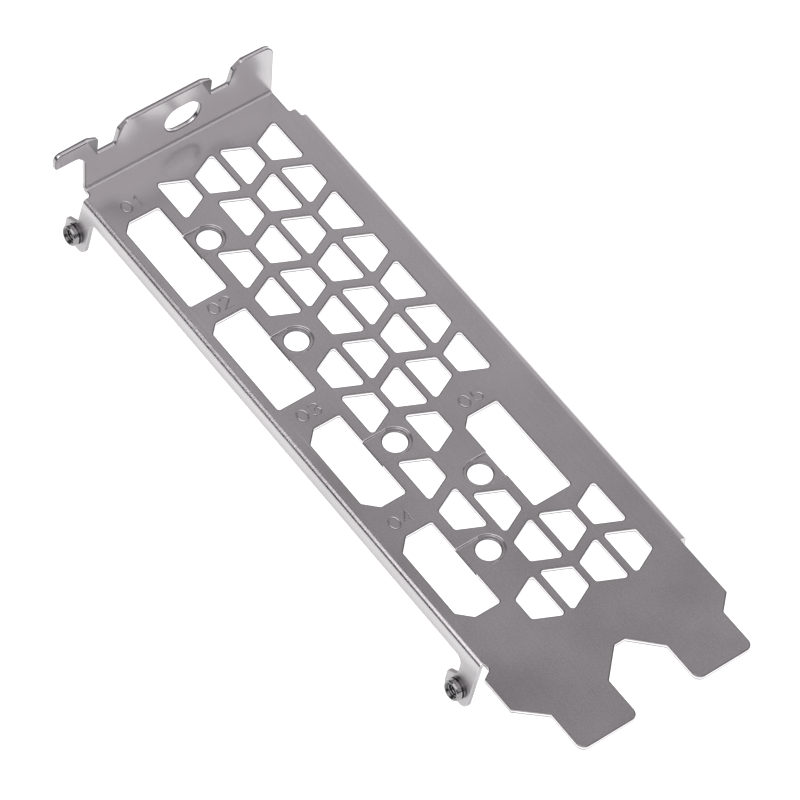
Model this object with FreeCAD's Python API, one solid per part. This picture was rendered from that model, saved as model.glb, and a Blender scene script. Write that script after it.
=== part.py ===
import FreeCAD, Part
import math
import os
from FreeCAD import Vector

# Two-slot bracket of a graphics card: one folded sheet with two pressed-in nuts.
# Millimetres. X runs across the slots, Z out of the outer face, and the feet point along -Y.
# Lengths called "from the seat" are measured from the underside of the screw flange towards the feet.

# Sheet and overall size
SHEET = 0.8                 # thickness of the plated steel
LENGTH = 120.0              # back of the screw flange to the tips of the feet
SLOT_PITCH = 20.32          # one expansion slot to the next
FLANGE_BEND_R = 0.4         # inside radius where the screw flange turns up
SIDE_BEND_R = 0.1           # inside radius where the left side turns down
LIP_BEND_R = 0.4            # inside radius where the right lip turns down

# Feet and lower end of the plate
FOOT_WIDTH = 10.1
FOOT_LENGTH = 6.96
FOOT_SHIFT = 3.3            # foot centre to the right of its slot's screw
FOOT_TIP_R = 1.3
FOOT_ROOT_R = 0.4
LEFT_SHOULDER = 4.2         # plate edge beyond the left foot
LEFT_SHOULDER_RISE = 3.8
RIGHT_SHOULDER = 2.5        # plate edge beyond the right foot
RIGHT_SHOULDER_RISE = 2.4
GAP_RISE = 4.24             # depth of the gap between the feet, past their roots
GAP_FLOOR = 1.75
EDGE_R = 0.3                # outer corners of the plate

# Screw flange
FLANGE_HEIGHT = 10.9
SCREW_HEIGHT = 8.85         # centre of a fixing screw above the plate's outer face
FLANGE_LEFT = 0.6           # flange's left edge inside the left bend line
FLANGE_RIGHT = 1.1          # flange's right edge inside the plate's right edge
FLANGE_CORNER_R = 1.9
STEP_FROM_SEAT = 4.6        # where the plate widens on the right
STEP_R = 0.4
FINGER_LENGTH = 5.2
FINGER_DEPTH = 2.9
FINGER_TOP_R = 1.2
FINGER_TIP_R = 0.5
FINGER_ROOT_R = 1.8
NOTCH_WIDTH = 3.3
NOTCH_REACH = 2.0           # screw's centre to the notch's floor
NOTCH_FLOOR_R = 0.4
NOTCH_LEAN = (0.6, 0.7)     # left and right wall, shift to the right between floor and lead-in
LEAD_IN_R = 1.4             # where a lead-in meets the flange's top
LEAD_IN_FOOT_R = 0.8
LEFT_LEAD_IN = (2.05, 1.1)  # sloped mouth of a notch: width, depth
RIGHT_LEAD_IN = (1.6, 1.2)
COIN_WIDTH = 1.75           # bevel pressed beside each notch, at the flange's top
COIN_DEPTH = 0.45
LONG_HOLE_LENGTH = 6.35
LONG_HOLE_WIDTH = 4.95
LONG_HOLE_X = 3.55          # from the middle between the slots
LONG_HOLE_Z = 5.2

# Left side, folded down and standing a little open, with a tab near each end
SIDE_LEAN = 9.0             # degrees short of a square fold
SIDE_INSET = 1.55           # bend line inside the plate's left edge
SIDE_START = 1.4            # from the seat
SIDE_START_R = 0.5          # between the flange's edge and the upper end of the fold
SIDE_END = 12.0             # above the roots of the feet
SIDE_DROP = 1.8             # below the bend
RELIEF_WIDTH = 1.2          # cut at the lower end of the fold
RELIEF_SLANT = 0.9          # fall of its floor towards the plate's edge
RELIEF_R = 0.55
TAB_NECK_ROOT_R = 1.2
UPPER_NECK_WIDTH = 2.85
LOWER_NECK_WIDTH = 3.6
TAB_HEAD_WIDTH = 5.4
TAB_NECK_END = 4.6          # below the bend, where the neck runs into the head
TAB_HEAD_TOP = 5.75
TAB_HEAD_BOTTOM = 9.35
TAB_HEAD_R = 1.6
TAB_SHOULDER_R = 0.8
TAB_NECK_R = 0.4            # between head and neck
LOWER_TAB_LONGER = 0.55
UPPER_HEAD_OUT = 2.95       # head beyond the upper end of the fold
LOWER_HEAD_IN = 0.15        # head inside the lower end of the fold
NECK_SLANT = 0.35           # upper neck's outward lean over its length

# Right side, folded square
LIP_START = 6.2             # from the seat
LIP_END = 13.1              # above the roots of the feet
LIP_DROP = 1.7              # below the bend
LIP_R = 0.6

# Clinch nut
NUT_BELOW_BEND = 6.2
NUT_SHIFT = 0.45            # from the middle of the tab's head towards the feet
NUT_HEIGHT = 1.65           # above the tab
NUT_COLLAR_R = 1.7
NUT_COLLAR_HEIGHT = 0.55
NUT_GROOVE_R = 1.4
NUT_GROOVE_HEIGHT = 0.25
NUT_BARREL_R = 1.66
NUT_CHAMFER = 0.2
NUT_SHANK_R = 1.4
NUT_THREAD_R = 1.0          # tapping size
NUT_THREAD_MOUTH = 0.3
NUT_FIT = 0.02              # shank inside its hole

# Connector openings, each with one screw hole in a pressed recess
PORT_R = 0.45
WIDE_PORT = (17.85, 6.6)    # length along the plate, width
WIDE_PORT_CHAMFER = 1.45
WIDE_PORT_SCREW = 6.25      # screw hole from the middle of the opening
NARROW_PORT = (16.4, 6.5)
NARROW_PORT_CHAMFER = 2.05
NARROW_PORT_SCREW = 7.25
UPPER_PORT_X = 0.1          # to the right of the slot's screw
LOWER_PORT_X = 0.4
UPPER_PORTS = (17.6, 39.95)     # middles, from the seat
LOWER_PORTS = (62.55, 85.05)
SECOND_SLOT_PORT = 73.9
SCREW_HOLE_R = 1.85
RECESS_WIDTH = 4.76
RECESS_FLOOR = 0.45         # metal left under the recess

# Vents: rows of trapezoids that point left and right by turns
VENT_LONG = 8.1
VENT_SHORT = 3.9
VENT_WIDTH = 4.42
VENT_R = 0.5
VENT_COLUMN_X = 7.78        # first column, to the right of the first slot's screw
VENT_COLUMN_PITCH = 5.66
VENT_ROW = 8.85             # first row, from the seat
VENT_ROW_PITCH = 7.83
LOWER_VENT_ROW = 16.15      # last row, above the roots of the feet
LOWER_VENT_PITCH = 7.95
MIDDLE_VENTS = (7.2, 15.3)  # beyond the middle of the third opening
UPPER_VENT_ROWS = ((0, 2, 3, 5, 6), range(8), range(7), range(7))
LOWER_VENT_ROWS = ((0,), (2, 1, 0), (1, 0), (1, 0))

# Places that follow from the sizes above
foot_tip = LENGTH - SHEET
foot_root = foot_tip - FOOT_LENGTH
slot_x = (-SLOT_PITCH / 2, SLOT_PITCH / 2)
foot_x = [x + FOOT_SHIFT for x in slot_x]
plate_left = foot_x[0] - FOOT_WIDTH / 2 - LEFT_SHOULDER
plate_right = foot_x[1] + FOOT_WIDTH / 2 + RIGHT_SHOULDER
side_bend_x = plate_left + SIDE_INSET
side_end = foot_root - SIDE_END
flange_left = side_bend_x + FLANGE_LEFT
flange_right = plate_right - FLANGE_RIGHT
notch_floor = SCREW_HEIGHT - NOTCH_REACH
through = 4 * SHEET         # reach of a cutting tool on either side of the sheet


def outline(points, place):
    """Closed wire through (a, b, radius) corners, each rounded, with place(a, b) giving the point."""
    corners = [(place(a, b), radius) for a, b, radius in points]
    stretches = []
    for index, (corner, radius) in enumerate(corners):
        to_last = (corners[index - 1][0] - corner).normalize()
        to_next = (corners[(index + 1) % len(corners)][0] - corner).normalize()
        half = to_last.getAngle(to_next) / 2
        reach = radius / math.tan(half)
        inward = (to_last + to_next).normalize()
        middle = corner + inward * (radius / math.sin(half) - radius)
        stretches.append((corner + to_last * reach, middle, corner + to_next * reach, radius))
    edges = []
    for index, (start, middle, end, radius) in enumerate(stretches):
        if radius > 0:
            edges.append(Part.Arc(start, middle, end).toShape())
        following = stretches[(index + 1) % len(stretches)][0]
        edges.append(Part.LineSegment(end, following).toShape())
    return Part.Wire(edges)


def on_plate(x, from_seat):
    return Vector(x, -from_seat, 0)


def on_flange(x, z):
    return Vector(x, 0, z)


def slab(wire, reach):
    return Part.Face(wire).extrude(reach)


def plate_tool(points, bottom=-through):
    """Prism that cuts the plate from above down to the given height."""
    tool = slab(outline(points, on_plate), Vector(0, 0, through - bottom))
    tool.translate(Vector(0, 0, bottom))
    return tool


def plate_blank():
    left_foot, right_foot = [(x - FOOT_WIDTH / 2, x + FOOT_WIDTH / 2) for x in foot_x]
    gap_middle = (left_foot[1] + right_foot[0]) / 2
    gap_floor = foot_root - GAP_RISE
    relief_end = side_end + RELIEF_WIDTH
    points = [
        (flange_left, FLANGE_BEND_R, 0),
        (flange_right, FLANGE_BEND_R, 0),
        (flange_right, STEP_FROM_SEAT, STEP_R),
        (plate_right, STEP_FROM_SEAT, STEP_R),
        (plate_right, foot_root - RIGHT_SHOULDER_RISE, EDGE_R),
        (right_foot[1], foot_root, FOOT_ROOT_R),
        (right_foot[1], foot_tip, FOOT_TIP_R),
        (right_foot[0], foot_tip, FOOT_TIP_R),
        (right_foot[0], foot_root, FOOT_ROOT_R),
        (gap_middle + GAP_FLOOR / 2, gap_floor, FOOT_ROOT_R),
        (gap_middle - GAP_FLOOR / 2, gap_floor, FOOT_ROOT_R),
        (left_foot[1], foot_root, FOOT_ROOT_R),
        (left_foot[1], foot_tip, FOOT_TIP_R),
        (left_foot[0], foot_tip, FOOT_TIP_R),
        (left_foot[0], foot_root, FOOT_ROOT_R),
        (plate_left, foot_root - LEFT_SHOULDER_RISE, EDGE_R),
        (plate_left, relief_end + RELIEF_SLANT, EDGE_R),
        (side_bend_x, relief_end, RELIEF_R),
        (side_bend_x, SIDE_START, 0),
        (flange_left, SIDE_START, SIDE_START_R),
    ]
    return slab(outline(points, on_plate), Vector(0, 0, -SHEET))


def bent_strip(inner, turn, point_at, reach):
    """Ring sector between the two faces of the sheet, drawn out along the bend line."""
    outer = inner + SHEET
    edges = [
        Part.Arc(point_at(outer, 0), point_at(outer, turn / 2), point_at(outer, turn)).toShape(),
        Part.LineSegment(point_at(outer, turn), point_at(inner, turn)).toShape(),
        Part.Arc(point_at(inner, turn), point_at(inner, turn / 2), point_at(inner, 0)).toShape(),
        Part.LineSegment(point_at(inner, 0), point_at(outer, 0)).toShape(),
    ]
    return slab(Part.Wire(edges), reach)


def screw_flange():
    """Upright flange with its bend, open-topped screw notches, coined lead-ins and long hole."""

    def bend_point(radius, angle):
        return Vector(flange_left, radius * math.sin(angle) - FLANGE_BEND_R,
                      FLANGE_BEND_R - radius * math.cos(angle))

    bend = bent_strip(FLANGE_BEND_R, math.pi / 2, bend_point, Vector(flange_right - flange_left, 0, 0))
    finger_tip = flange_left - FINGER_LENGTH
    points = [
        (flange_left, FLANGE_BEND_R, 0),
        (flange_left, FLANGE_HEIGHT - FINGER_DEPTH, FINGER_ROOT_R),
        (finger_tip, FLANGE_HEIGHT - FINGER_DEPTH, FINGER_TIP_R),
        (finger_tip, FLANGE_HEIGHT, FINGER_TOP_R),
    ]
    for x in slot_x:
        left, right = x - NOTCH_WIDTH / 2, x + NOTCH_WIDTH / 2
        points += [
            (left + NOTCH_LEAN[0] - LEFT_LEAD_IN[0], FLANGE_HEIGHT, LEAD_IN_R),
            (left + NOTCH_LEAN[0], FLANGE_HEIGHT - LEFT_LEAD_IN[1], LEAD_IN_FOOT_R),
            (left, notch_floor, NOTCH_FLOOR_R),
            (right, notch_floor, NOTCH_FLOOR_R),
            (right + NOTCH_LEAN[1], FLANGE_HEIGHT - RIGHT_LEAD_IN[1], LEAD_IN_FOOT_R),
            (right + NOTCH_LEAN[1] + RIGHT_LEAD_IN[0], FLANGE_HEIGHT, LEAD_IN_R),
        ]
    points += [(flange_right, FLANGE_HEIGHT, FLANGE_CORNER_R), (flange_right, FLANGE_BEND_R, 0)]
    upright = slab(outline(points, on_flange), Vector(0, SHEET, 0))
    tools = [coined_lead_in(x, side) for x in slot_x for side in (-1, 1)]
    return bend, upright.cut(tools + [long_hole()])


def coined_lead_in(x, side):
    """Bevel beside a notch on the seat face, widening from the notch floor to the flange's top."""
    half = NOTCH_WIDTH / 2
    slope = COIN_DEPTH / COIN_WIDTH
    low = [Vector(x, 0, notch_floor), Vector(x + side * half, 0, notch_floor),
           Vector(x, slope * half, notch_floor)]
    high = [Vector(x, 0, FLANGE_HEIGHT), Vector(x + side * (half + COIN_WIDTH), 0, FLANGE_HEIGHT),
            Vector(x, slope * (half + COIN_WIDTH), FLANGE_HEIGHT)]
    loops = [low, high]
    for first, second in ((0, 1), (1, 2), (2, 0)):
        loops.append([low[first], low[second], high[second], high[first]])
    faces = [Part.Face(Part.makePolygon(loop + loop[:1])) for loop in loops]
    return Part.Solid(Part.Shell(faces))


def long_hole():
    radius = LONG_HOLE_WIDTH / 2
    spread = LONG_HOLE_LENGTH / 2 - radius
    ends = [Part.makeCylinder(radius, 2 * through, Vector(LONG_HOLE_X + offset, -through, LONG_HOLE_Z),
                              Vector(0, 1, 0)) for offset in (-spread, spread)]
    middle = Part.makeBox(2 * spread, 2 * through, LONG_HOLE_WIDTH,
                          Vector(LONG_HOLE_X - spread, -through, LONG_HOLE_Z - radius))
    return ends[0].fuse([ends[1], middle])


def side_place(side, bend_x, inner, turn):
    """Frame of a folded side: along the plate, down the side, and into the sheet from its outer face."""
    outer = inner + SHEET
    along = Vector(0, side, 0)
    down = Vector(side * math.cos(turn), 0, -math.sin(turn))
    inward = Vector(-side * math.sin(turn), 0, -math.cos(turn))
    origin = Vector(bend_x + side * outer * math.sin(turn), 0, outer * (math.cos(turn) - 1))
    return FreeCAD.Placement(FreeCAD.Matrix(
        along.x, down.x, inward.x, origin.x,
        along.y, down.y, inward.y, origin.y,
        along.z, down.z, inward.z, origin.z,
        0, 0, 0, 1))


def folded_side(side, bend_x, inner, turn, first, last, panel):
    """Bend and flat of a side folded down from the plate; panel holds (from seat, below bend, radius)."""
    outer = inner + SHEET

    def bend_point(radius, angle):
        return Vector(bend_x + side * radius * math.sin(angle), -first, radius * math.cos(angle) - outer)

    bend = bent_strip(inner, turn, bend_point, Vector(0, first - last, 0))
    flat = slab(outline(panel, lambda s, b: Vector(-side * s, b, 0)), Vector(0, 0, SHEET))
    flat.Placement = side_place(side, bend_x, inner, turn)
    return bend, flat


left_turn = math.radians(90 - SIDE_LEAN)
upper_head = SIDE_START - UPPER_HEAD_OUT
lower_head = side_end - LOWER_HEAD_IN - TAB_HEAD_WIDTH
head_middle = TAB_HEAD_WIDTH / 2 + NUT_SHIFT
nut_places = {"upper": (upper_head + head_middle, NUT_BELOW_BEND),
              "lower": (lower_head + head_middle, NUT_BELOW_BEND + LOWER_TAB_LONGER)}


def left_side():
    lower_neck = side_end - LOWER_NECK_WIDTH
    panel = [
        (SIDE_START, 0, 0),
        (side_end, 0, 0),
        (lower_head + TAB_HEAD_WIDTH, TAB_HEAD_BOTTOM + LOWER_TAB_LONGER, TAB_HEAD_R),
        (lower_head, TAB_HEAD_BOTTOM + LOWER_TAB_LONGER, TAB_HEAD_R),
        (lower_head, TAB_HEAD_TOP + LOWER_TAB_LONGER, TAB_SHOULDER_R),
        (lower_neck, TAB_NECK_END + LOWER_TAB_LONGER, TAB_NECK_R),
        (lower_neck, SIDE_DROP, TAB_NECK_ROOT_R),
        (SIDE_START + UPPER_NECK_WIDTH, SIDE_DROP, TAB_NECK_ROOT_R),
        (upper_head + TAB_HEAD_WIDTH, TAB_HEAD_BOTTOM, TAB_HEAD_R),
        (upper_head, TAB_HEAD_BOTTOM, TAB_HEAD_R),
        (upper_head, TAB_HEAD_TOP, TAB_SHOULDER_R),
        (SIDE_START - NECK_SLANT, TAB_NECK_END, TAB_NECK_R),
    ]
    bend, flat = folded_side(-1, side_bend_x, SIDE_BEND_R, left_turn, SIDE_START, side_end, panel)
    holes = [at_nut(Part.makeCylinder(NUT_SHANK_R + NUT_FIT, 2 * through, Vector(0, 0, -through)), *place)
             for place in nut_places.values()]
    return bend, flat.cut(holes)


def right_lip():
    lip_end = foot_root - LIP_END
    panel = [(LIP_START, 0, 0), (lip_end, 0, 0), (lip_end, LIP_DROP, LIP_R), (LIP_START, LIP_DROP, LIP_R)]
    return folded_side(1, plate_right, LIP_BEND_R, math.pi / 2, LIP_START, lip_end, panel)


def at_nut(shape, from_seat, below_bend):
    """Put a shape that stands along +Z on the outer face of a tab, at the nut's place."""
    stand = FreeCAD.Placement(Vector(from_seat, below_bend, 0), FreeCAD.Rotation(Vector(1, 0, 0), 180))
    side = side_place(-1, side_bend_x, SIDE_BEND_R, left_turn)
    shape.Placement = side.multiply(stand).multiply(shape.Placement)
    return shape


def clinch_nut():
    """Turned nut: shank in the sheet, collar on it, groove, and a chamfered barrel with a thread."""
    groove_top = NUT_COLLAR_HEIGHT + NUT_GROOVE_HEIGHT
    profile = [
        (NUT_THREAD_R, -SHEET), (NUT_SHANK_R, -SHEET), (NUT_SHANK_R, 0),
        (NUT_COLLAR_R, 0), (NUT_COLLAR_R, NUT_COLLAR_HEIGHT),
        (NUT_GROOVE_R, NUT_COLLAR_HEIGHT), (NUT_GROOVE_R, groove_top),
        (NUT_BARREL_R, groove_top), (NUT_BARREL_R, NUT_HEIGHT - NUT_CHAMFER),
        (NUT_BARREL_R - NUT_CHAMFER, NUT_HEIGHT), (NUT_THREAD_R + NUT_THREAD_MOUTH, NUT_HEIGHT),
        (NUT_THREAD_R, NUT_HEIGHT - NUT_THREAD_MOUTH),
    ]
    ring = Part.makePolygon([Vector(r, 0, z) for r, z in profile + profile[:1]])
    return Part.Face(ring).revolve(Vector(0, 0, 0), Vector(0, 0, 1), 360)


def port_tools(x, from_seat, size, chamfer, both_ends, screw):
    """Opening with chamfered left corners, its screw hole, and the recess that joins the two."""
    left, right = x - size[1] / 2, x + size[1] / 2
    top, bottom = from_seat - size[0] / 2, from_seat + size[0] / 2
    points = [(left, top + chamfer, PORT_R), (left + chamfer, top, PORT_R), (right, top, PORT_R),
              (right, bottom, PORT_R)]
    if both_ends:
        points += [(left + chamfer, bottom, PORT_R), (left, bottom - chamfer, PORT_R)]
    else:
        points += [(left, bottom, PORT_R)]
    centre = Vector(x + screw, -from_seat, 0)
    floor = Vector(0, 0, RECESS_FLOOR - SHEET)
    hole = Part.makeCylinder(SCREW_HOLE_R, 2 * through, centre - Vector(0, 0, through))
    round_end = Part.makeCylinder(RECESS_WIDTH / 2, through, centre + floor)
    channel = Part.makeBox(abs(screw), RECESS_WIDTH, through,
                           Vector(min(x, centre.x), centre.y - RECESS_WIDTH / 2, floor.z))
    return [plate_tool(points), hole, round_end.fuse(channel)]


def vent_tool(column, from_seat, points_right):
    """Trapezoid whose short side is on the right, or on the left."""
    x = slot_x[0] + VENT_COLUMN_X + column * VENT_COLUMN_PITCH
    side = 1 if points_right else -1
    points = [(x - side * VENT_WIDTH / 2, from_seat - VENT_LONG / 2, VENT_R),
              (x - side * VENT_WIDTH / 2, from_seat + VENT_LONG / 2, VENT_R),
              (x + side * VENT_WIDTH / 2, from_seat + VENT_SHORT / 2, VENT_R),
              (x + side * VENT_WIDTH / 2, from_seat - VENT_SHORT / 2, VENT_R)]
    return plate_tool(points)


def plate_openings():
    tools = []
    for place in UPPER_PORTS:
        tools += port_tools(slot_x[0] + UPPER_PORT_X, place, WIDE_PORT, WIDE_PORT_CHAMFER, False,
                            WIDE_PORT_SCREW)
    for place in LOWER_PORTS:
        tools += port_tools(slot_x[0] + LOWER_PORT_X, place, NARROW_PORT, NARROW_PORT_CHAMFER, True,
                            NARROW_PORT_SCREW)
    tools += port_tools(slot_x[1] + LOWER_PORT_X, SECOND_SLOT_PORT, WIDE_PORT, WIDE_PORT_CHAMFER, False,
                        -WIDE_PORT_SCREW)
    for column, rows in enumerate(UPPER_VENT_ROWS):
        tools += [vent_tool(column, VENT_ROW + row * VENT_ROW_PITCH, (row + column) % 2 == 0)
                  for row in rows]
    for column, rows in enumerate(LOWER_VENT_ROWS):
        tools += [vent_tool(column, foot_root - LOWER_VENT_ROW - row * LOWER_VENT_PITCH,
                            (row + column) % 2 == 1) for row in rows]
    for index, step in enumerate(MIDDLE_VENTS):
        tools.append(vent_tool(0, LOWER_PORTS[0] + step, index == 0))
    return tools


def bracket_sheet():
    pieces = [*screw_flange(), *left_side(), *right_lip()]
    return plate_blank().fuse(pieces).cut(plate_openings()).removeSplitter()


parts = {"bracket_sheet": bracket_sheet()}
for name, place in nut_places.items():
    parts[name + "_clinch_nut"] = at_nut(clinch_nut(), *place)

# The frame's origin lies on the seat, midway between the two fixing screws
os.makedirs("parts", exist_ok=True)
for name, shape in parts.items():
    shape.translate(Vector(0, 0, -SCREW_HEIGHT))
    shape.exportStep("parts/" + name + ".step")
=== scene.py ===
import math

import bmesh
import bpy
from mathutils import Euler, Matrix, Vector


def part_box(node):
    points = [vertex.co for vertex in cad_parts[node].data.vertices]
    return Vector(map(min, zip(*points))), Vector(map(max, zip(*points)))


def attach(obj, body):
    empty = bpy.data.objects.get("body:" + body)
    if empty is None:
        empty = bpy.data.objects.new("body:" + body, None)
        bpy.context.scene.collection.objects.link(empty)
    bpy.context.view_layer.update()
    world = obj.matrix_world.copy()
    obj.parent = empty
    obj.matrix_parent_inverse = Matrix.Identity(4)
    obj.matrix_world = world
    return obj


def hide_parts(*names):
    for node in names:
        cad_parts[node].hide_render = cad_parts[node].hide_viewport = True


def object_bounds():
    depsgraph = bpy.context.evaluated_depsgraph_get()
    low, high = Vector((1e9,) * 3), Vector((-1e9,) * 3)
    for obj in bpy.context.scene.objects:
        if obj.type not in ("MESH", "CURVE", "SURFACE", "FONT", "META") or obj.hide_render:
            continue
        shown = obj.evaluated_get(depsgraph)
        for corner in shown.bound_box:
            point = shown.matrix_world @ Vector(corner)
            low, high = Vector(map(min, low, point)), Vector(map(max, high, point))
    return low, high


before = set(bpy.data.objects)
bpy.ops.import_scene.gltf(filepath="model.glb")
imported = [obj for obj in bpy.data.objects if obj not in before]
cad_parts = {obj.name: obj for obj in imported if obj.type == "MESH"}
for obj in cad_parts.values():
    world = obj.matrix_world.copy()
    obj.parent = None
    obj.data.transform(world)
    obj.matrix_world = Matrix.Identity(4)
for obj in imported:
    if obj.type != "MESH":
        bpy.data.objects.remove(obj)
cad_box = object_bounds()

# The folded sheet: one blank of thin cold-rolled steel, punched, coined and bent, then plated all over with
# satin nickel. Punching rolls every edge a little, and plain figures are stamped beside the five connector
# openings. The plating is crazed along the outside of the sharp left fold, where the metal stretched most.
MM = 0.001
SHEET = 0.8 * MM
PLATE_TOP = -8.85 * MM          # outer face of the plate
PLATE_LEFT = -14.4 * MM         # the flat of the plate, between its bends
PLATE_RIGHT = 20.9 * MM
PLATE_HEAD = -0.5 * MM
FLANGE_FOOT = PLATE_TOP + 1.3 * MM
TAB_HEAD = PLATE_TOP - 1.6 * MM
TAB_LEAN = math.radians(9)
TAB_OUT = Vector((-math.cos(TAB_LEAN), 0, math.sin(TAB_LEAN)))
SLOT_HALF_PITCH = 10.16 * MM    # from the middle to each screw notch
NOTCH_FOOT = -2.4 * MM
NOTCH_REACH = 4.6 * MM
RECESS_DEPTH = 0.34 * MM
RECESS_R = 2.75 * MM            # round end of a recess, about its screw hole
RECESS_REACH = 4.7 * MM         # from the hole to the connector opening
RECESSES = ((-3.81, -17.6, -1), (-3.81, -39.95, -1), (-2.51, -62.55, -1), (-2.51, -85.05, -1),
            (4.31, -73.9, 1))   # hole's place in millimetres, and the side that its opening is on
BEND_REACH = 0.45 * MM          # inside of the flange's bend, out from its corner
FOLD_START = -14.45 * MM        # across the left fold, from the plate
FOLD_END = -15.45 * MM
FOLD_FOOT = -100.2 * MM
FOLD_CALM = -40 * MM            # from here to the foot the crazing fades
FIGURE_HEIGHT = 2.1 * MM
FIGURE_WIDTH = 1.55 * MM
FIGURE_PITCH = 2.15 * MM
PUNCH_R = 0.15 * MM             # round nose of the figure punch
PUNCH_SIDES = 10
PUNCH_LIFT = 0.06 * MM          # centre of its nose above the plate
MITRE_COS = 0.35                # least cosine at a corner of a stroke
NUMBER_REACH = (1.3 * FIGURE_PITCH, 0.8 * FIGURE_HEIGHT)   # from a number's middle past its edges
NUMBER_PLACES = (("01", -9.6, -6.1), ("02", -9.6, -28.7), ("03", -10.0, -51.6), ("04", -10.0, -74.1),
                 ("05", 10.9, -62.6))

EDGE_ROUND = 0.2 * MM
EDGE_STEPS = 3
SHARP_TURN = math.radians(38)   # an edge that turns further is rolled
SMOOTH_COS = math.cos(math.radians(40))
SEAM = 0.0005 * MM              # corners that lie closer are one
LEVEL_TURN = math.radians(0.3)  # facets that turn less make one flat
FLAT_AREA = 5 * MM * MM         # least area that is trued flat
FLAT_BORDER = 17                # and least number of edges round it
FLAT_COS = 0.9999
FLAT_STEP = 0.03 * MM           # faces further apart in level are two flats
FLAT_WAYS = [Vector(way) * side for way in ((1, 0, 0), (0, 1, 0), (0, 0, 1), TAB_OUT) for side in (1, -1)]

# Painted light on a face: 0 is plain plating, up to 1 painted shade darkens it, down to -1 a painted highlight
# brightens it
ROLLED_RIM_SHADE = 0.9
COINED_BEVEL_SHADE = 0.8
RECESS_RIM_SHADE = 0.6
STAMPED_FIGURE_SHADE = 0.55
NOTCH_WALL_SHADE = 0.35
TAB_SIDE_SHADE = 0.3
TAB_FOOT_SHEEN = -0.4
SHEARED_WALL_SHEEN = -1.0
CREASED = (0.5, 0.85)           # painted shades in between end at a crease
SKIN = 0.002 * MM               # depth from which a face lies below the sheet's own
FACE_COS = 0.99                 # a face lies along the sheet past this, on a rim past the next, or on a wall
RIM_COS = 0.3
LOWER_RIM_COS = 0.1
WALL_COS = 0.5                  # a wall looks along an axis past this
BEVEL_COS = (0.93, 0.15)        # a coined bevel faces the seat and leans sideways past these


def merged_copy(node_name, piece_name):
    """Copy of a CAD node with its seams closed and its flats whole."""
    skin = bmesh.new()
    skin.from_mesh(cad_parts[node_name].data)
    bmesh.ops.remove_doubles(skin, verts=skin.verts, dist=SEAM)
    bmesh.ops.dissolve_limit(skin, angle_limit=LEVEL_TURN, use_dissolve_boundaries=False,
                             verts=skin.verts, edges=skin.edges)
    mesh = bpy.data.meshes.new(piece_name)
    skin.to_mesh(mesh)
    skin.free()
    if "custom_normal" in mesh.attributes:
        mesh.attributes.remove(mesh.attributes["custom_normal"])
    piece = bpy.data.objects.new(piece_name, mesh)
    bpy.context.collection.objects.link(piece)
    return piece


def take_modifiers(piece):
    """Turn what the modifiers give into the piece's own plain mesh."""
    mesh = bpy.data.meshes.new_from_object(piece.evaluated_get(bpy.context.evaluated_depsgraph_get()))
    piece.modifiers.clear()
    piece.data = mesh


def roll_edges(piece, edge_round, stamped=lambda point: False):
    """Round a piece's sharp edges, but for those at stamped points."""
    skin = bmesh.new()
    skin.from_mesh(piece.data)
    weight = skin.edges.layers.float.new("bevel_weight_edge")
    for edge in skin.edges:
        middle = (edge.verts[0].co + edge.verts[1].co) / 2
        edge[weight] = float(edge.calc_face_angle_signed(0.0) > SHARP_TURN and not stamped(middle))
    skin.to_mesh(piece.data)
    skin.free()
    rolled = piece.modifiers.new("rolled_edges", "BEVEL")
    rolled.limit_method = "WEIGHT"
    rolled.width = edge_round
    rolled.segments = EDGE_STEPS
    rolled.use_clamp_overlap = False
    rolled.loop_slide = False
    take_modifiers(piece)


def true_flats(skin):
    """Level every large flat and fill it afresh inside its border; gives its faces."""
    flats = set()
    for way in FLAT_WAYS:
        facing = []
        for face in skin.faces:
            if face not in flats and face.normal.dot(way) > FLAT_COS:
                levels = sorted(vertex.co.dot(way) for vertex in face.verts)
                facing.append((levels[len(levels) // 2], face.index, face))
        sheets = []
        for level, _, face in sorted(facing):
            if not sheets or level - sheets[-1][-1][0] > FLAT_STEP:
                sheets.append([])
            sheets[-1].append((level, face))
        for sheet in sheets:
            faces = [face for _, face in sheet]
            inside = set(faces)
            border = [edge for face in faces for edge in face.edges if len(inside & set(edge.link_faces)) == 1]
            if sum(face.calc_area() for face in faces) < FLAT_AREA or len(border) < FLAT_BORDER:
                continue
            level = max(sheet, key=lambda entry: entry[1].calc_area())[0]
            for vertex in {vertex for edge in border for vertex in edge.verts}:
                vertex.co += way * (level - vertex.co.dot(way))
            bmesh.ops.delete(skin, geom=faces, context="FACES")
            filled = bmesh.ops.triangle_fill(skin, edges=border, use_beauty=True, normal=way)["geom"]
            filled = [part for part in filled if isinstance(part, bmesh.types.BMFace)]
            for face in filled:
                face.normal_update()
                if face.normal.dot(way) < 0:
                    face.normal_flip()
            flats.update(filled)
        skin.faces.index_update()
    return flats


def alike(first, second):
    """Whether two faces' painted shades run into each other; a face with a painted shade between the crease
    values ends at a crease.
    """
    return first == second or not any(CREASED[0] < finish < CREASED[1] for finish in (first, second))


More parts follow.
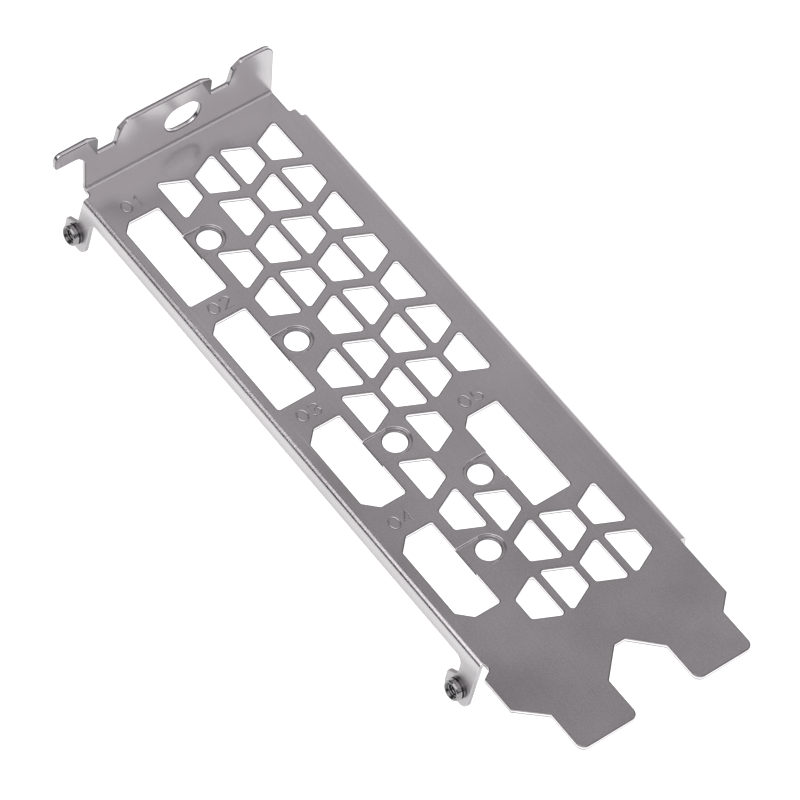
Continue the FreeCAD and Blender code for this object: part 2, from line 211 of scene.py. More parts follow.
def smooth_bends(piece, painted_shade_and_sheen):
    """Smooth the bends and rolled edges and keep the flats flat; the given function fills an attribute with
    each face's painted shade or highlight.
    """
    skin = bmesh.new()
    skin.from_mesh(piece.data)
    bmesh.ops.remove_doubles(skin, verts=skin.verts, dist=SEAM)
    skin.normal_update()
    flats = true_flats(skin)
    skin.normal_update()
    layer = skin.faces.layers.float.new("painted_shade_and_sheen")
    weights = {}
    for face in skin.faces:
        face.smooth = True
        face[layer] = painted_shade_and_sheen(face)
        weights[face] = 1.0 if face in flats else face.calc_area() ** 2
    normals = []
    for face in skin.faces:
        for loop in face.loops:
            fan = [other for other in loop.vert.link_faces
                   if alike(other[layer], face[layer]) and other.normal.dot(face.normal) > SMOOTH_COS]
            normals.append(sum((other.normal * weights[other] for other in fan), Vector()).normalized())
    for edge in skin.edges:
        first, second = edge.link_faces
        edge.smooth = first.normal.dot(second.normal) > SMOOTH_COS and alike(first[layer], second[layer])
    skin.to_mesh(piece.data)
    skin.free()
    piece.data.normals_split_custom_set(normals)


def arc(cx, cy, rx, ry, start, end, steps=14):
    """Points along part of an ellipse, from one angle in degrees to another."""
    angles = [math.radians(start + (end - start) * i / steps) for i in range(steps + 1)]
    return [(cx + rx * math.cos(a), cy + ry * math.sin(a)) for a in angles]


FIGURES = {
    "0": [arc(0.5, 0.5, 0.5, 0.5, 100, 440, 24)],
    "1": [[(0.2, 0.8), (0.55, 1.0), (0.55, 0.0)]],
    "2": [arc(0.5, 0.7, 0.45, 0.3, 165, -30) + [(0.05, 0.0), (1.0, 0.0)]],
    "3": [arc(0.47, 0.74, 0.42, 0.26, 150, -80) + arc(0.47, 0.27, 0.5, 0.27, 75, -150)],
    "4": [[(0.75, 0.0), (0.75, 1.0), (0.05, 0.28), (1.0, 0.28)]],
    "5": [[(0.92, 1.0), (0.2, 1.0), (0.12, 0.55)] + arc(0.48, 0.32, 0.48, 0.32, 130, -150)],
}


def punch_stroke(builder, points):
    """Round-nosed tube along one stroke of a figure, just above the plate's outer face."""
    turns = [math.tau * i / PUNCH_SIDES for i in range(PUNCH_SIDES)]
    section = [(math.cos(turn), math.sin(turn)) for turn in turns]
    rings = []
    for index, point in enumerate(points):
        back = (point - points[max(index - 1, 0)]).normalized()
        ahead = (points[min(index + 1, len(points) - 1)] - point).normalized()
        along = (back + ahead).normalized()
        mitre = 1 / max(MITRE_COS, along.dot(ahead if ahead.length else back))
        across = Vector((-along.y, along.x, 0.0)) * mitre
        rings.append([builder.verts.new(point + across * (c * PUNCH_R) + Vector((0, 0, s * PUNCH_R)))
                      for c, s in section])
    for ring, following in zip(rings, rings[1:]):
        for i in range(PUNCH_SIDES):
            j = (i + 1) % PUNCH_SIDES
            builder.faces.new((ring[i], following[i], following[j], ring[j]))
    builder.faces.new(list(reversed(rings[0])))
    builder.faces.new(rings[-1])


def at_notch(point):
    """Whether a point lies at a screw notch, where the coined bevels take the place of a rolled edge."""
    return point.z > NOTCH_FOOT and abs(abs(point.x) - SLOT_HALF_PITCH) < NOTCH_REACH


def in_figures(point):
    """Whether a point lies at one of the stamped figures."""
    return point.z > PLATE_TOP - PUNCH_R and any(
        abs(point.x - x * MM) < NUMBER_REACH[0] and abs(point.y - y * MM) < NUMBER_REACH[1]
        for _, x, y in NUMBER_PLACES)


def cut_edge_shade_and_sheen(across, depth):
    """Painted light on a cut edge: its rolled rims are painted dark as shade, and its wall is painted bright,
    a real burnished band lightened as a painted highlight.
    """
    if not SKIN < depth < SHEET - SKIN or abs(across) >= FACE_COS:
        return 0.0
    on_rim = abs(across) > RIM_COS or (across < -LOWER_RIM_COS and depth > SHEET / 2)
    return ROLLED_RIM_SHADE if on_rim else SHEARED_WALL_SHEEN


def flange_shade_and_sheen(face, middle):
    """Painted light on a face of the flange: its coined bevels and the walls that look left are painted dark
    as shade, and its other edges as any cut edge.
    """
    if face.normal.y < -BEVEL_COS[0] and abs(face.normal.x) > BEVEL_COS[1]:
        return COINED_BEVEL_SHADE
    if face.normal.x < -WALL_COS and abs(face.normal.y) < RIM_COS:
        return NOTCH_WALL_SHADE
    return cut_edge_shade_and_sheen(-face.normal.y, middle.y)


def tab_shade_and_sheen(face):
    """Painted light on a face of a tab: plain, but its cut edges are painted dark as shade on the sides and
    bright as a painted highlight at the foot.
    """
    if abs(face.normal.dot(TAB_OUT)) > RIM_COS:
        return 0.0
    return TAB_FOOT_SHEEN if face.normal.y < -WALL_COS else TAB_SIDE_SHADE


def sheet_shade_and_sheen(face):
    """Painted shade or highlight of any face of the sheet."""
    middle = face.calc_center_median()
    if middle.z > FLANGE_FOOT:
        return flange_shade_and_sheen(face, middle)
    if middle.x < PLATE_LEFT and middle.z < TAB_HEAD:
        return tab_shade_and_sheen(face)
    depth = PLATE_TOP - middle.z
    on_left_fold = middle.x < PLATE_LEFT and middle.y > FOLD_FOOT
    if on_left_fold or middle.x > PLATE_RIGHT or middle.y > PLATE_HEAD or depth < SKIN:
        return 0.0
    # Painted shade in the stamped figures.
    if in_figures(middle) and depth < PUNCH_R:
        return STAMPED_FIGURE_SHADE
    # Painted shade on the round end of each recess, about its screw hole; the straight part is left plain.
    if depth < RECESS_DEPTH:
        for hole_x, hole_y, side in RECESSES:
            away = middle.xy - Vector((hole_x, hole_y)) * MM
            if away.length < RECESS_R:
                return RECESS_RIM_SHADE
            if abs(away.y) < RECESS_R and 0 < side * away.x < RECESS_REACH:
                return 0.0
    return cut_edge_shade_and_sheen(face.normal.z, depth)


folded_sheet = merged_copy("bracket_sheet", "folded_sheet")

builder = bmesh.new()
for figures, x, y in NUMBER_PLACES:
    for index, figure in enumerate(figures):
        left = x * MM + (index - (len(figures) - 1) / 2) * FIGURE_PITCH - FIGURE_WIDTH / 2
        for stroke in FIGURES[figure]:
            punch_stroke(builder, [Vector((left + a * FIGURE_WIDTH, y * MM + (b - 0.5) * FIGURE_HEIGHT,
                                           PLATE_TOP + PUNCH_LIFT)) for a, b in stroke])
bmesh.ops.recalc_face_normals(builder, faces=builder.faces)
punch_mesh = bpy.data.meshes.new("figure_punch")
builder.to_mesh(punch_mesh)
builder.free()
figure_punch = bpy.data.objects.new("figure_punch", punch_mesh)
bpy.context.collection.objects.link(figure_punch)
stamped = folded_sheet.modifiers.new("stamped_figures", "BOOLEAN")
stamped.operation = "DIFFERENCE"
stamped.solver = "EXACT"
stamped.use_self = True
stamped.object = figure_punch
take_modifiers(folded_sheet)
bpy.data.objects.remove(figure_punch)
roll_edges(folded_sheet, EDGE_ROUND, lambda point: in_figures(point) or at_notch(point))
smooth_bends(folded_sheet, sheet_shade_and_sheen)

SHEET_DARK = (0.50, 0.4915, 0.4975)
SHEET_LIGHT = (0.59, 0.58, 0.587)
SIDE_SHEEN_LIGHT = (0.73, 0.725, 0.73)
SIDE_SHEEN_SHARE = 0.15              # of the painted sheen that lightens the left side
CRAZED_DARK = (0.20, 0.195, 0.20)
CRAZED_SHARE = 0.55
CRAZED_CALM = 0.35              # what is left of the crazing at the foot
CRAZED_INNER = 0.25             # and towards the plate
CRACK_SCALE = 4200.0
CRACK_EDGE = (0.42, 0.58)       # from sound to cracked, in the noise
CRACK_RELIEF = 15.0             # against the grain's
# colour of all the painted shade on the sheet
PAINTED_SHADE_DARK = (0.17, 0.165, 0.17)
# the sheared walls' real burnish, lightened further as a painted highlight
SHEARED_SHEEN_LIGHT = (0.86, 0.85, 0.86)
TORN_GREY = (0.30, 0.295, 0.30)
TORN_FROM = 0.40 * MM           # a punched wall is burnished down to here, and torn below
TORN_TO = 0.46 * MM
TONE_SPAN = (0.3, 0.7)          # used part of the grain's tone
DULL_SPAN = (0.25, 0.75)
SHEET_GLOSS = (0.19, 0.28)      # roughness, from the clearest to the dullest patch
BEND_DULL = 0.36                # roughness added in the flange's bend and on the left side
CRAZED_DULL = 0.15
RELIEF_STRENGTH = 0.35
GRAIN_RELIEF = 0.003 * MM
FOLD_SOFT = 0.3 * MM            # width over which the finish of the fold comes in
FOOT_SOFT = 0.4 * MM
SIDE_SOFT = 0.2 * MM
INNER_SOFT = 0.1 * MM
PIT_SCALE = 4200.0
LINE_SCALE = 2600.0
PATCH_SCALE = 70.0
LINE_STRETCH = 0.03             # rolling lines are this much coarser along the sheet
PITS_IN_GRAIN = 0.75            # the rest is lines
GRAIN_IN_TONE = 0.6             # the rest is patches
PITS_IN_DULLNESS = 0.35


def wire(tree, source, target):
    """Link two sockets."""
    tree.links.new(source, target)


def place_node(tree, kind, **settings):
    """New node of a tree, with its settings."""
    node = tree.nodes.new(kind)
    for name, value in settings.items():
        setattr(node, name, value)
    return node


def math_node(tree, operation, *values):
    """Math node whose inputs are sockets or numbers; gives its output socket."""
    node = place_node(tree, "ShaderNodeMath", operation=operation)
    for socket, value in zip(node.inputs, values):
        if isinstance(value, (int, float)):
            socket.default_value = value
        else:
            wire(tree, value, socket)
    return node.outputs[0]


def product(tree, first, *others):
    """Product of sockets and numbers."""
    for other in others:
        first = math_node(tree, "MULTIPLY", first, other)
    return first


def weighted(tree, first, second, share):
    """Mean of two sockets, in which the first has the given share."""
    return math_node(tree, "ADD", product(tree, first, share), product(tree, second, 1 - share))


def map_range(tree, value, low, high, to_low, to_high):
    """Soft step of a socket from one range to another."""
    node = place_node(tree, "ShaderNodeMapRange", clamp=True, interpolation_type="SMOOTHSTEP")
    wire(tree, value, node.inputs["Value"])
    for name, number in (("From Min", low), ("From Max", high), ("To Min", to_low), ("To Max", to_high)):
        node.inputs[name].default_value = number
    return node.outputs["Result"]


def noise(tree, vector, scale, detail, roughness):
    """Noise whose scale is a number or a socket; gives its value socket."""
    node = place_node(tree, "ShaderNodeTexNoise")
    wire(tree, vector, node.inputs["Vector"])
    node.inputs["Detail"].default_value = detail
    node.inputs["Roughness"].default_value = roughness
    if isinstance(scale, (int, float)):
        node.inputs["Scale"].default_value = scale
    else:
        wire(tree, scale, node.inputs["Scale"])
    return node.outputs["Fac"]


def blend(tree, factor, first, second):
    """Colour mix; each colour is a socket or a triple."""
    node = place_node(tree, "ShaderNodeMix", data_type="RGBA")
    wire(tree, factor, node.inputs["Factor"])
    for socket, colour in zip([s for s in node.inputs if s.type == "RGBA"], (first, second)):
        if isinstance(colour, tuple):
            socket.default_value = (*colour, 1)
        else:
            wire(tree, colour, socket)
    return next(s for s in node.outputs if s.type == "RGBA")


def axes_of(tree, vector):
    """The three values of a vector socket."""
    apart = place_node(tree, "ShaderNodeSeparateXYZ")
    wire(tree, vector, apart.inputs["Vector"])
    return [apart.outputs[axis] for axis in "XYZ"]


def shade_and_sheen_of(tree):
    """Value of the painted shade or highlight that smooth_bends has left on each face."""
    return place_node(tree, "ShaderNodeAttribute", attribute_type="GEOMETRY",
                      attribute_name="painted_shade_and_sheen").outputs["Fac"]


# Grain of a plated surface: fine pits, faint rolling lines along the sheet and broad dull patches
plating_grain = bpy.data.node_groups.new("plating_grain", "ShaderNodeTree")
for socket_name, preset in (("Pit Scale", PIT_SCALE), ("Line Scale", LINE_SCALE),
                            ("Patch Scale", PATCH_SCALE)):
    socket = plating_grain.interface.new_socket(socket_name, in_out="INPUT", socket_type="NodeSocketFloat")
    socket.default_value = preset
for socket_name in ("Tone", "Dullness", "Height"):
    plating_grain.interface.new_socket(socket_name, in_out="OUTPUT", socket_type="NodeSocketFloat")
group_in = place_node(plating_grain, "NodeGroupInput")
group_out = place_node(plating_grain, "NodeGroupOutput")
spot = place_node(plating_grain, "ShaderNodeTexCoord").outputs["Object"]
drawn = place_node(plating_grain, "ShaderNodeMapping")
drawn.inputs["Scale"].default_value = (1.0, LINE_STRETCH, 1.0)
wire(plating_grain, spot, drawn.inputs["Vector"])
pits = noise(plating_grain, spot, group_in.outputs["Pit Scale"], 3.0, 0.65)
lines = noise(plating_grain, drawn.outputs["Vector"], group_in.outputs["Line Scale"], 2.0, 0.55)
patches = noise(plating_grain, spot, group_in.outputs["Patch Scale"], 3.0, 0.5)
grain_mix = weighted(plating_grain, pits, lines, PITS_IN_GRAIN)
wire(plating_grain, weighted(plating_grain, grain_mix, patches, GRAIN_IN_TONE), group_out.inputs["Tone"])
wire(plating_grain, weighted(plating_grain, pits, patches, PITS_IN_DULLNESS), group_out.inputs["Dullness"])
wire(plating_grain, grain_mix, group_out.inputs["Height"])


def plated_material(name, pit_scale, line_scale):
    """Metal with the shared grain; gives its tree, shader and grain node."""
    material = bpy.data.materials.new(name)
    material.use_nodes = True
    tree = material.node_tree
    shader = tree.nodes["Principled BSDF"]
    shader.inputs["Metallic"].default_value = 1.0
    grain = place_node(tree, "ShaderNodeGroup", node_tree=plating_grain)
    grain.inputs["Pit Scale"].default_value = pit_scale
    grain.inputs["Line Scale"].default_value = line_scale
    return material, tree, shader, grain


def bump(tree, shader, height, distance):
    """Relief of a shader's surface."""
    node = place_node(tree, "ShaderNodeBump")
    node.inputs["Strength"].default_value = RELIEF_STRENGTH
    node.inputs["Distance"].default_value = distance
    wire(tree, height, node.inputs["Height"])
    wire(tree, node.outputs["Normal"], shader.inputs["Normal"])


satin_nickel, tree, shader, grain = plated_material("satin_nickel_sheet", PIT_SCALE, LINE_SCALE)
spot = place_node(tree, "ShaderNodeTexCoord").outputs["Object"]
across, along, up = axes_of(tree, spot)
fold_band = product(tree, map_range(tree, across, FOLD_END, FOLD_END + FOLD_SOFT, 0.0, 1.0),
                    map_range(tree, across, FOLD_START - FOLD_SOFT, FOLD_START, 1.0, 0.0),
                    map_range(tree, along, FOLD_FOOT, FOLD_FOOT + FOOT_SOFT, 0.0, 1.0),
                    map_range(tree, up, PLATE_TOP, PLATE_TOP + SIDE_SOFT, 1.0, 0.0),
                    map_range(tree, along, FOLD_FOOT, FOLD_CALM, CRAZED_CALM, 1.0))
side_band = product(tree, map_range(tree, up, PLATE_TOP - SIDE_SOFT, PLATE_TOP, 1.0, 0.0),
                    map_range(tree, across, FOLD_END - FOLD_SOFT, FOLD_END, 1.0, 0.0))
cracks = noise(tree, spot, CRACK_SCALE, 1.5, 0.6)
crazing = product(tree, fold_band, map_range(tree, cracks, *CRACK_EDGE, 0.0, 1.0),
                  map_range(tree, across, FOLD_END + FOLD_SOFT, FOLD_START - INNER_SOFT, 1.0, CRAZED_INNER))
painted_shade_and_sheen = shade_and_sheen_of(tree)
torn = math_node(tree, "MAXIMUM",
                 map_range(tree, up, PLATE_TOP - TORN_TO, PLATE_TOP - TORN_FROM, 1.0, 0.0),
                 map_range(tree, along, TORN_FROM, TORN_TO, 0.0, 1.0))
colour = blend(tree, map_range(tree, grain.outputs["Tone"], *TONE_SPAN, 0.0, 1.0), SHEET_DARK, SHEET_LIGHT)
# Painted sheen: the left side is lightened a little, as if more brightly lit; its haze is the added roughness.
colour = blend(tree, product(tree, side_band, SIDE_SHEEN_SHARE), colour, SIDE_SHEEN_LIGHT)
colour = blend(tree, product(tree, crazing, CRAZED_SHARE), colour, CRAZED_DARK)
# Painted shade: faces with a value above 0 are darkened, as shade.
colour = blend(tree, math_node(tree, "MAXIMUM", painted_shade_and_sheen, 0.0), colour, PAINTED_SHADE_DARK)
# Painted highlight: sheared walls are lightened, partly a real burnished band, and grey where torn.
colour = blend(tree, math_node(tree, "MAXIMUM", product(tree, painted_shade_and_sheen, -1.0), 0.0), colour,
               blend(tree, torn, SHEARED_SHEEN_LIGHT, TORN_GREY))
wire(tree, colour, shader.inputs["Base Color"])
bend_way = math_node(tree, "SUBTRACT", up, along)
bend_edge = 0.8 * BEND_REACH
bend_band = product(tree, map_range(tree, bend_way, PLATE_TOP + bend_edge, PLATE_TOP + BEND_REACH, 1.0, 0.0),
                    map_range(tree, along, -BEND_REACH, -bend_edge, 0.0, 1.0))
dulled = math_node(tree, "ADD", product(tree, crazing, CRAZED_DULL),
                   product(tree, math_node(tree, "MAXIMUM", bend_band, side_band), BEND_DULL))
gloss = map_range(tree, grain.outputs["Dullness"], *DULL_SPAN, *SHEET_GLOSS)
wire(tree, math_node(tree, "ADD", gloss, dulled), shader.inputs["Roughness"])
relief = math_node(tree, "ADD", grain.outputs["Height"], product(tree, fold_band, cracks, CRACK_RELIEF))
bump(tree, shader, relief, GRAIN_RELIEF)

low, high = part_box("bracket_sheet")
for vertex in folded_sheet.data.vertices:
    vertex.co = [min(max(value, least), most) for value, least, most in zip(vertex.co, low, high)]
folded_sheet.data.materials.clear()
folded_sheet.data.materials.append(satin_nickel)
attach(folded_sheet, "root")
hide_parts("bracket_sheet")

# Clinch nuts: turned from free-cutting steel and bright plated, each pressed into a hole in its tab so that
# the collar bears on the outer face. The collar, the groove and the bore are painted dark as shade.
NUT_AXIS = TAB_OUT
NUT_SEATS = {"upper": Vector((-16.4189, -1.6, -15.7330)) * MM,
             "lower": Vector((-16.5050, -97.84, -16.2762)) * MM}
NUT_EDGE_ROUND = 0.04 * MM
NUT_BORE_R = 1.34 * MM          # with its countersink
NUT_GROOVE_R = 1.5 * MM
NUT_FACE_COS = 0.8              # past this a face of the nut looks outwards
NUT_GROOVE = (0.6 * MM, 0.85 * MM)   # above the tab; the collar is below it
NUT_DARK = (0.20, 0.197, 0.20)
NUT_LIGHT = (0.43, 0.425, 0.43)
NUT_TONE_SPAN = (0.35, 0.65)
NUT_GLOSS = (0.10, 0.20)
NUT_PIT_SCALE = 5200.0
NUT_LINE_SCALE = 3000.0
TOOL_MARKS = 9000.0             # scale of the rings that turning leaves
GRAIN_IN_NUT_TONE = 0.5         # the rest is tool marks
TOOL_MARK_RELIEF = 0.004 * MM
# Colour of the painted shade, and how much of it the bore, the collar and the groove take
NUT_SHADE_DARK = (0.07, 0.068, 0.07)
BORE_SHADE = 0.75
COLLAR_SHADE = 0.65
GROOVE_SHADE = 0.4

bright_steel, tree, shader, grain = plated_material("bright_turned_steel", NUT_PIT_SCALE, NUT_LINE_SCALE)
spot = place_node(tree, "ShaderNodeTexCoord").outputs["Object"]
height = place_node(tree, "ShaderNodeVectorMath", operation="DOT_PRODUCT")
wire(tree, spot, height.inputs[0])
height.inputs[1].default_value = NUT_AXIS
turned_way = place_node(tree, "ShaderNodeCombineXYZ")
wire(tree, height.outputs["Value"], turned_way.inputs["X"])
rings = noise(tree, turned_way.outputs["Vector"], TOOL_MARKS, 2.0, 0.6)
tone = weighted(tree, grain.outputs["Tone"], rings, GRAIN_IN_NUT_TONE)
tone = map_range(tree, tone, *NUT_TONE_SPAN, 0.0, 1.0)
# Painted shade: the bore, the collar and the groove are darkened.
colour = blend(tree, shade_and_sheen_of(tree), blend(tree, tone, NUT_DARK, NUT_LIGHT), NUT_SHADE_DARK)
wire(tree, colour, shader.inputs["Base Color"])
wire(tree, map_range(tree, grain.outputs["Dullness"], *DULL_SPAN, *NUT_GLOSS), shader.inputs["Roughness"])
bump(tree, shader, rings, TOOL_MARK_RELIEF)


def nut_shade_faces(seat):
    """Painted shade on the faces of the nut on a seat: the bore, the collar and the groove."""
    def painted_shade_and_sheen(face):
        offset = face.calc_center_median() - seat
        rise = offset.dot(NUT_AXIS)
        radius = (offset - NUT_AXIS * rise).length
        if radius < NUT_BORE_R and face.normal.dot(NUT_AXIS) < NUT_FACE_COS:
            return BORE_SHADE
        if rise < NUT_GROOVE[0]:
            return COLLAR_SHADE
        return GROOVE_SHADE if rise < NUT_GROOVE[1] and radius < NUT_GROOVE_R else 0.0
    return painted_shade_and_sheen


for end, seat in NUT_SEATS.items():
    nut = merged_copy(end + "_clinch_nut", end + "_turned_nut")
    roll_edges(nut, NUT_EDGE_ROUND)
    smooth_bends(nut, nut_shade_faces(seat))
    nut.data.materials.clear()
    nut.data.materials.append(bright_steel)
    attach(nut, "root")
    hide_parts(end + "_clinch_nut")

# Threads: the ridge that a tap leaves in the bore of each nut, of the nut's own steel. It runs as a helix
# from the back of the tab to just below the countersink.
THREAD_SIZES = {"Bore Radius": 1.0 * MM, "Pitch": 0.4 * MM, "Length": 2.0 * MM, "Ridge": 0.13 * MM}
THREAD_FOOT = -0.72 * MM        # start of the thread, from the tab's outer face
THREAD_STEPS = 36               # to a turn
RIDGE_SIDES = 4

thread_tree = bpy.data.node_groups.new("tapped_thread", "GeometryNodeTree")
thread_tree.interface.new_socket("Geometry", in_out="INPUT", socket_type="NodeSocketGeometry")
identifiers = {}
for socket_name, preset in THREAD_SIZES.items():
    socket = thread_tree.interface.new_socket(socket_name, in_out="INPUT", socket_type="NodeSocketFloat")
    socket.default_value = preset
    identifiers[socket_name] = socket.identifier
socket = thread_tree.interface.new_socket("Axis", in_out="INPUT", socket_type="NodeSocketVector")
identifiers["Axis"] = socket.identifier
thread_tree.interface.new_socket("Geometry", in_out="OUTPUT", socket_type="NodeSocketGeometry")
group_in = place_node(thread_tree, "NodeGroupInput")
group_out = place_node(thread_tree, "NodeGroupOutput")
turns = math_node(thread_tree, "DIVIDE", group_in.outputs["Length"], group_in.outputs["Pitch"])
helix = place_node(thread_tree, "GeometryNodeCurveSpiral")
helix.inputs["Resolution"].default_value = THREAD_STEPS
wire(thread_tree, turns, helix.inputs["Rotations"])
wire(thread_tree, group_in.outputs["Bore Radius"], helix.inputs["Start Radius"])
wire(thread_tree, group_in.outputs["Bore Radius"], helix.inputs["End Radius"])
wire(thread_tree, group_in.outputs["Length"], helix.inputs["Height"])
ridge = place_node(thread_tree, "GeometryNodeCurvePrimitiveCircle")
ridge.inputs["Resolution"].default_value = RIDGE_SIDES
wire(thread_tree, group_in.outputs["Ridge"], ridge.inputs["Radius"])
swept = place_node(thread_tree, "GeometryNodeCurveToMesh")
swept.inputs["Fill Caps"].default_value = True
wire(thread_tree, helix.outputs["Curve"], swept.inputs["Curve"])
wire(thread_tree, ridge.outputs["Curve"], swept.inputs["Profile Curve"])
turned = place_node(thread_tree, "FunctionNodeAlignRotationToVector", axis="Z")
wire(thread_tree, group_in.outputs["Axis"], turned.inputs["Vector"])
placed = place_node(thread_tree, "GeometryNodeInstanceOnPoints")
wire(thread_tree, group_in.outputs["Geometry"], placed.inputs["Points"])
wire(thread_tree, swept.outputs["Mesh"], placed.inputs["Instance"])
wire(thread_tree, turned.outputs["Rotation"], placed.inputs["Rotation"])
real = place_node(thread_tree, "GeometryNodeRealizeInstances")
wire(thread_tree, placed.outputs["Instances"], real.inputs["Geometry"])
dressed = place_node(thread_tree, "GeometryNodeSetMaterial")
dressed.inputs["Material"].default_value = bright_steel
wire(thread_tree, real.outputs["Geometry"], dressed.inputs["Geometry"])
wire(thread_tree, dressed.outputs["Geometry"], group_out.inputs["Geometry"])

starts = bpy.data.meshes.new("nut_threads")
starts.from_pydata([seat + NUT_AXIS * THREAD_FOOT for seat in NUT_SEATS.values()], [], [])
nut_threads = bpy.data.objects.new("nut_threads", starts)
bpy.context.collection.objects.link(nut_threads)
tapped = nut_threads.modifiers.new("tapped", "NODES")
tapped.node_group = thread_tree
for socket_name, value in THREAD_SIZES.items():
    tapped[identifiers[socket_name]] = value
tapped[identifiers["Axis"]] = NUT_AXIS
take_modifiers(nut_threads)
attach(nut_threads, "root")

# Studio floor: a pale board some way below the part, which is held by its flange. The camera and the metal
# see it white, with the part's shadow on it, and it throws no more light than a pale board does.
FLOOR_DROP = 60 * MM
FLOOR_HALF = 20.0
FLOOR_PALE = (0.85, 0.85, 0.85, 1)
FLOOR_SHADE = (0.3, 0.3, 0.3, 1)     # takes the shadow, under the white

floor_z = cad_box[0][2] - FLOOR_DROP
floor_mesh = bpy.data.meshes.new("floor")
floor_mesh.from_pydata([(x * FLOOR_HALF, y * FLOOR_HALF, floor_z)
                        for x, y in ((-1, -1), (1, -1), (1, 1), (-1, 1))], [], [(0, 1, 2, 3)])
floor = bpy.data.objects.new("floor", floor_mesh)
bpy.context.collection.objects.link(floor)
floor_white = bpy.data.materials.new("floor_white")
floor_white.use_nodes = True
tree = floor_white.node_tree
tree.nodes.clear()
output = place_node(tree, "ShaderNodeOutputMaterial")
lit = place_node(tree, "ShaderNodeBsdfDiffuse")
lit.inputs["Color"].default_value = FLOOR_PALE
shaded = place_node(tree, "ShaderNodeBsdfDiffuse")
shaded.inputs["Color"].default_value = FLOOR_SHADE
glow = place_node(tree, "ShaderNodeEmission")
seen_white = place_node(tree, "ShaderNodeAddShader")
wire(tree, shaded.outputs[0], seen_white.inputs[0])
wire(tree, glow.outputs[0], seen_white.inputs[1])
path = place_node(tree, "ShaderNodeLightPath")
seen = math_node(tree, "MAXIMUM", path.outputs["Is Camera Ray"], path.outputs["Is Glossy Ray"])
seen = math_node(tree, "MAXIMUM", seen, path.outputs["Is Transmission Ray"])
choose = place_node(tree, "ShaderNodeMixShader")
wire(tree, seen, choose.inputs[0])
wire(tree, lit.outputs[0], choose.inputs[1])
wire(tree, seen_white.outputs[0], choose.inputs[2])
wire(tree, choose.outputs[0], output.inputs["Surface"])
floor_mesh.materials.append(floor_white)

# Studio light: a broad bright ceiling over the front, stronger on the left and weaker straight above, a dim
# wall at the back on the right, a little fill on the left, and near darkness low down behind. One soft lamp
# on the left gives the shadow. Each span below is along an axis of the direction that the light comes from.
LIGHT_COLOUR = (1.0, 0.953, 0.986, 1)
DIM_LEVEL = 0.19                # everywhere
SOFTBOX_LEVEL = 1.2             # added to it by the ceiling
SOFTBOX_TURN = 0.5              # slant of the ceiling's far edge, to the right
SOFTBOX_EDGE = (0.20, 0.42)
SOFTBOX_FAR = (0.38, 0.52)
SOFTBOX_LOW = (0.40, 0.65)
FRONT_SPAN = (-0.70, -0.40)     # the ceiling's front ends here, unless it is as high as this
FRONT_HIGH = (0.60, 0.80)
LEFT_GAIN = 1.8                 # how much brighter the ceiling is on the left
LEFT_SPAN = (-0.20, 0.10)
OVERHEAD_SHARE = 0.2            # of the ceiling straight above
OVERHEAD_SPAN = (0.92, 0.99)
BACK_LEVEL = 0.58
BACK_TURN = 0.9
BACK_SPAN = (0.66, 0.92)
FILL_LEVEL = 0.24
FILL_RIGHT = (0.02, 0.26)
FILL_LEFT = (-0.75, -0.45)
HORIZON_SHARE = 0.2             # of the light that is left at the floor's edge
HORIZON_SPAN = (0.15, 0.60)
HORIZON_FRONT = (-0.4, 0.2)
HORIZON_RIGHT = (0.45, 0.75)
RIGHT_SHARE = 0.85              # of the light that reaches down to the floor on the right
LAMP_PLACE = Vector((-0.75, -0.55, 0.85))
LAMP_AIM = Vector((0.0, -0.06, -0.01))
LAMP_SIZE = 0.5
LAMP_POWER = 1.2

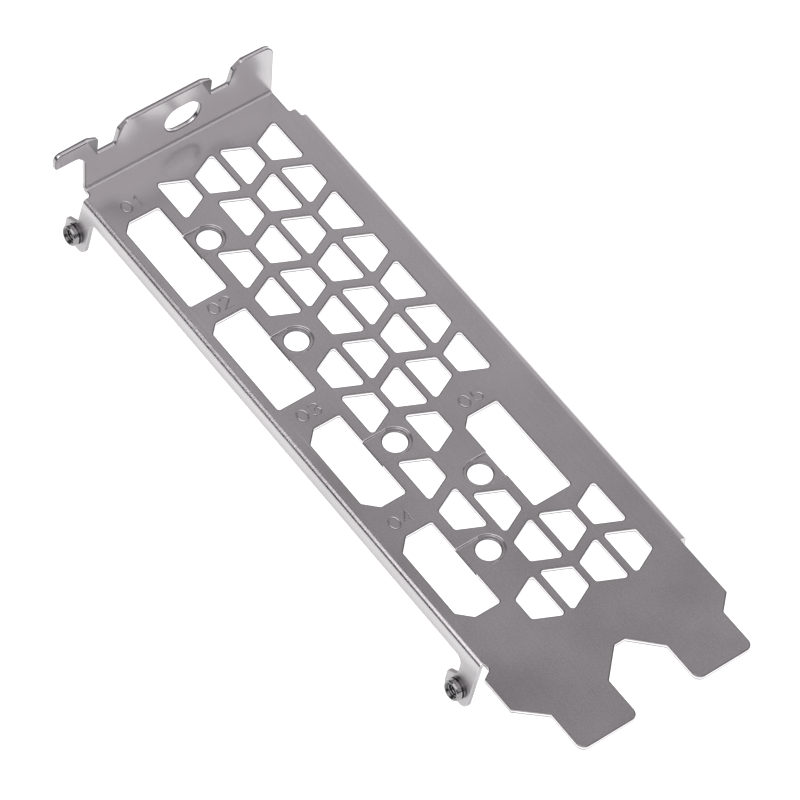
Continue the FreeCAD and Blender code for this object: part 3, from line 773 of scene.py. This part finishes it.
world = bpy.data.worlds.new("studio")
bpy.context.scene.world = world
world.use_nodes = True
tree = world.node_tree
background = tree.nodes["Background"]
background.inputs["Color"].default_value = LIGHT_COLOUR
right, far, up = axes_of(tree, place_node(tree, "ShaderNodeTexCoord").outputs["Generated"])
slant = math_node(tree, "ADD", far, product(tree, right, SOFTBOX_TURN))
front = math_node(tree, "MAXIMUM", map_range(tree, far, *FRONT_SPAN, 0.0, 1.0),
                  map_range(tree, up, *FRONT_HIGH, 0.0, 1.0))
ceiling = product(tree, map_range(tree, slant, *SOFTBOX_EDGE, SOFTBOX_LEVEL, 0.0),
                  map_range(tree, right, *LEFT_SPAN, LEFT_GAIN, 1.0),
                  map_range(tree, far, *SOFTBOX_FAR, 1.0, 0.0),
                  map_range(tree, up, *SOFTBOX_LOW, 0.0, 1.0), front,
                  map_range(tree, up, *OVERHEAD_SPAN, 1.0, OVERHEAD_SHARE))
back = math_node(tree, "ADD", far, product(tree, right, BACK_TURN))
wall = map_range(tree, back, *BACK_SPAN, DIM_LEVEL, DIM_LEVEL + BACK_LEVEL)
fill = product(tree, map_range(tree, right, *FILL_RIGHT, FILL_LEVEL, 0.0),
               map_range(tree, right, *FILL_LEFT, 0.0, 1.0))
level = math_node(tree, "ADD", math_node(tree, "ADD", ceiling, wall), fill)
horizon = math_node(tree, "MAXIMUM", map_range(tree, up, *HORIZON_SPAN, HORIZON_SHARE, 1.0),
                    map_range(tree, far, *HORIZON_FRONT, 1.0, HORIZON_SHARE))
horizon = math_node(tree, "MAXIMUM", horizon,
                    map_range(tree, right, *HORIZON_RIGHT, HORIZON_SHARE, RIGHT_SHARE))
wire(tree, product(tree, level, horizon), background.inputs["Strength"])

lamp = bpy.data.lights.new("key_softbox", "AREA")
lamp.shape = "SQUARE"
lamp.size = LAMP_SIZE
lamp.energy = LAMP_POWER
key_softbox = bpy.data.objects.new("key_softbox", lamp)
key_softbox.location = LAMP_PLACE
key_softbox.rotation_euler = (LAMP_AIM - LAMP_PLACE).to_track_quat("-Z", "Y").to_euler()
bpy.context.collection.objects.link(key_softbox)

# Camera: a long lens, looking down over the left side of the bracket from its foot end, as in the photograph.
# The view transform is Standard, so that a colour renders about as it is written.
CAMERA_PLACE = (-0.26641, -0.37745, 0.57030)
CAMERA_TURN = (35.7229, -2.8530, -36.0315)   # degrees
CAMERA_LENS = 222.84
CAMERA_SENSOR = 36.0

camera_data = bpy.data.cameras.new("camera")
camera_data.sensor_width = CAMERA_SENSOR
camera_data.lens = CAMERA_LENS
camera = bpy.data.objects.new("camera", camera_data)
camera.location = CAMERA_PLACE
camera.rotation_euler = Euler([math.radians(turn) for turn in CAMERA_TURN], "XYZ")
bpy.context.collection.objects.link(camera)
bpy.context.scene.camera = camera

bpy.context.scene.view_settings.view_transform = "Standard"
